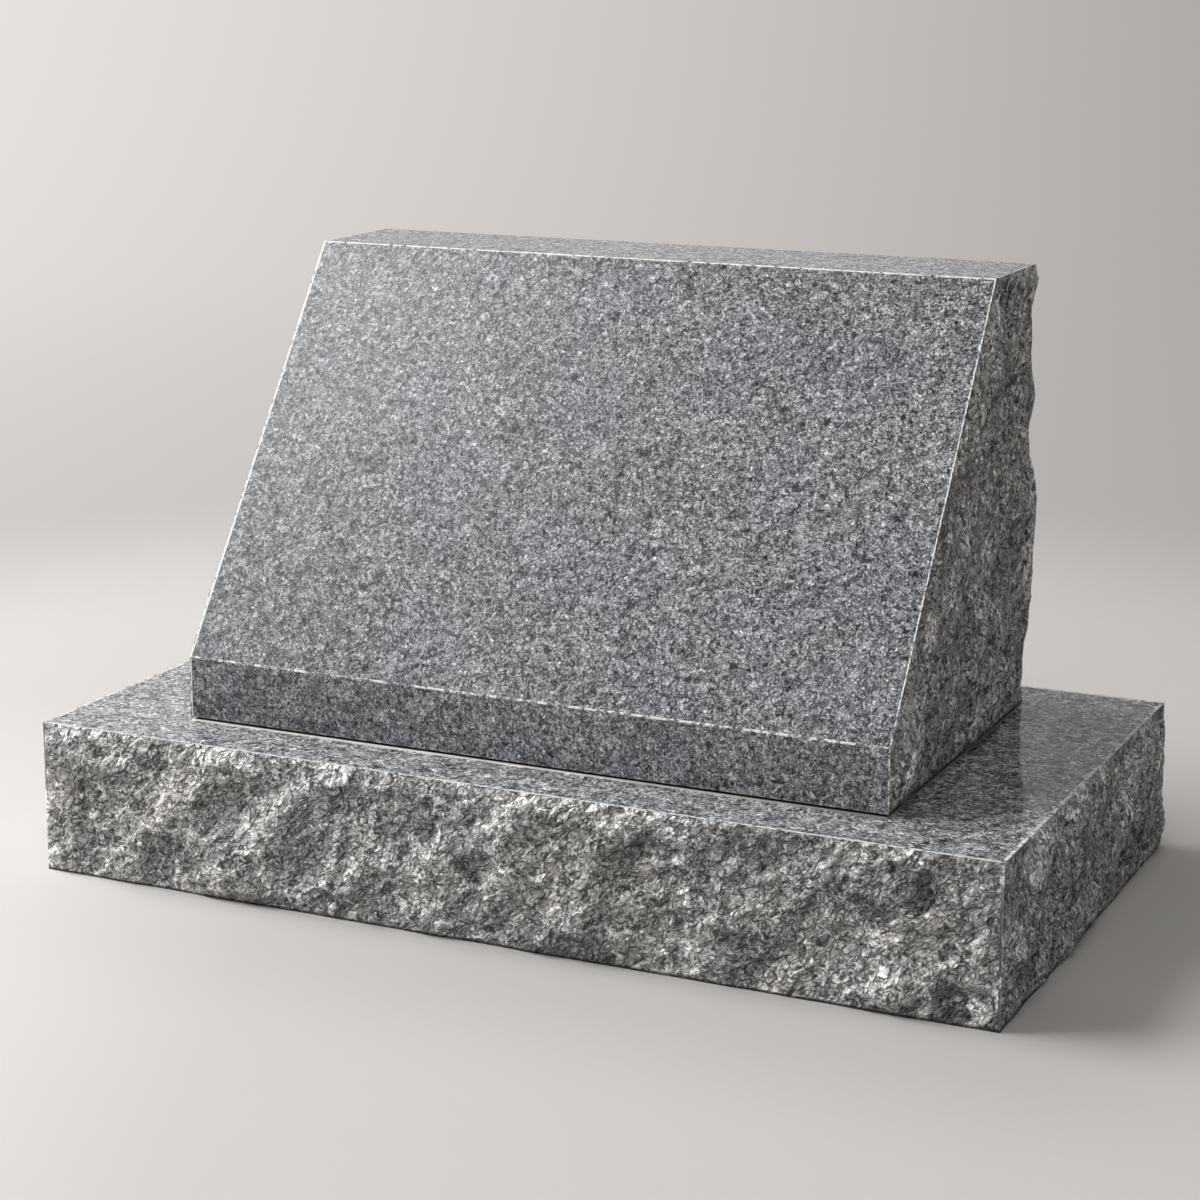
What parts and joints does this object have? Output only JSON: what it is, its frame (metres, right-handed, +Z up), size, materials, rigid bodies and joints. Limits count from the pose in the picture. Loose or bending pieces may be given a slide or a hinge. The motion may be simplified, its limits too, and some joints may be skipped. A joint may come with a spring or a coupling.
{
  "type": "granite slant marker",
  "caption": "Slant-faced granite memorial stone with a bare polished face, set on a wide rock-pitched base slab.",
  "frame": {"origin": "on the ground, under the middle of the base slab", "axes": "+Z up, +Y from the slanted front to the back, +X along the front to the right"},
  "size_m": [0.828, 0.463, 0.493],
  "materials": {
    "base_granite": "grey granite, polished top and rock-pitched sides",
    "die_granite": "blue-grey granite, polished front, nose and top, rock-pitched ends and back",
    "setting_compound": "pale matt setting compound"
  },
  "bodies": {
    "root": {"base_slab": "base_granite", "setting_bed": "setting_compound", "slant_die": "die_granite"}
  },
  "joints": []
}
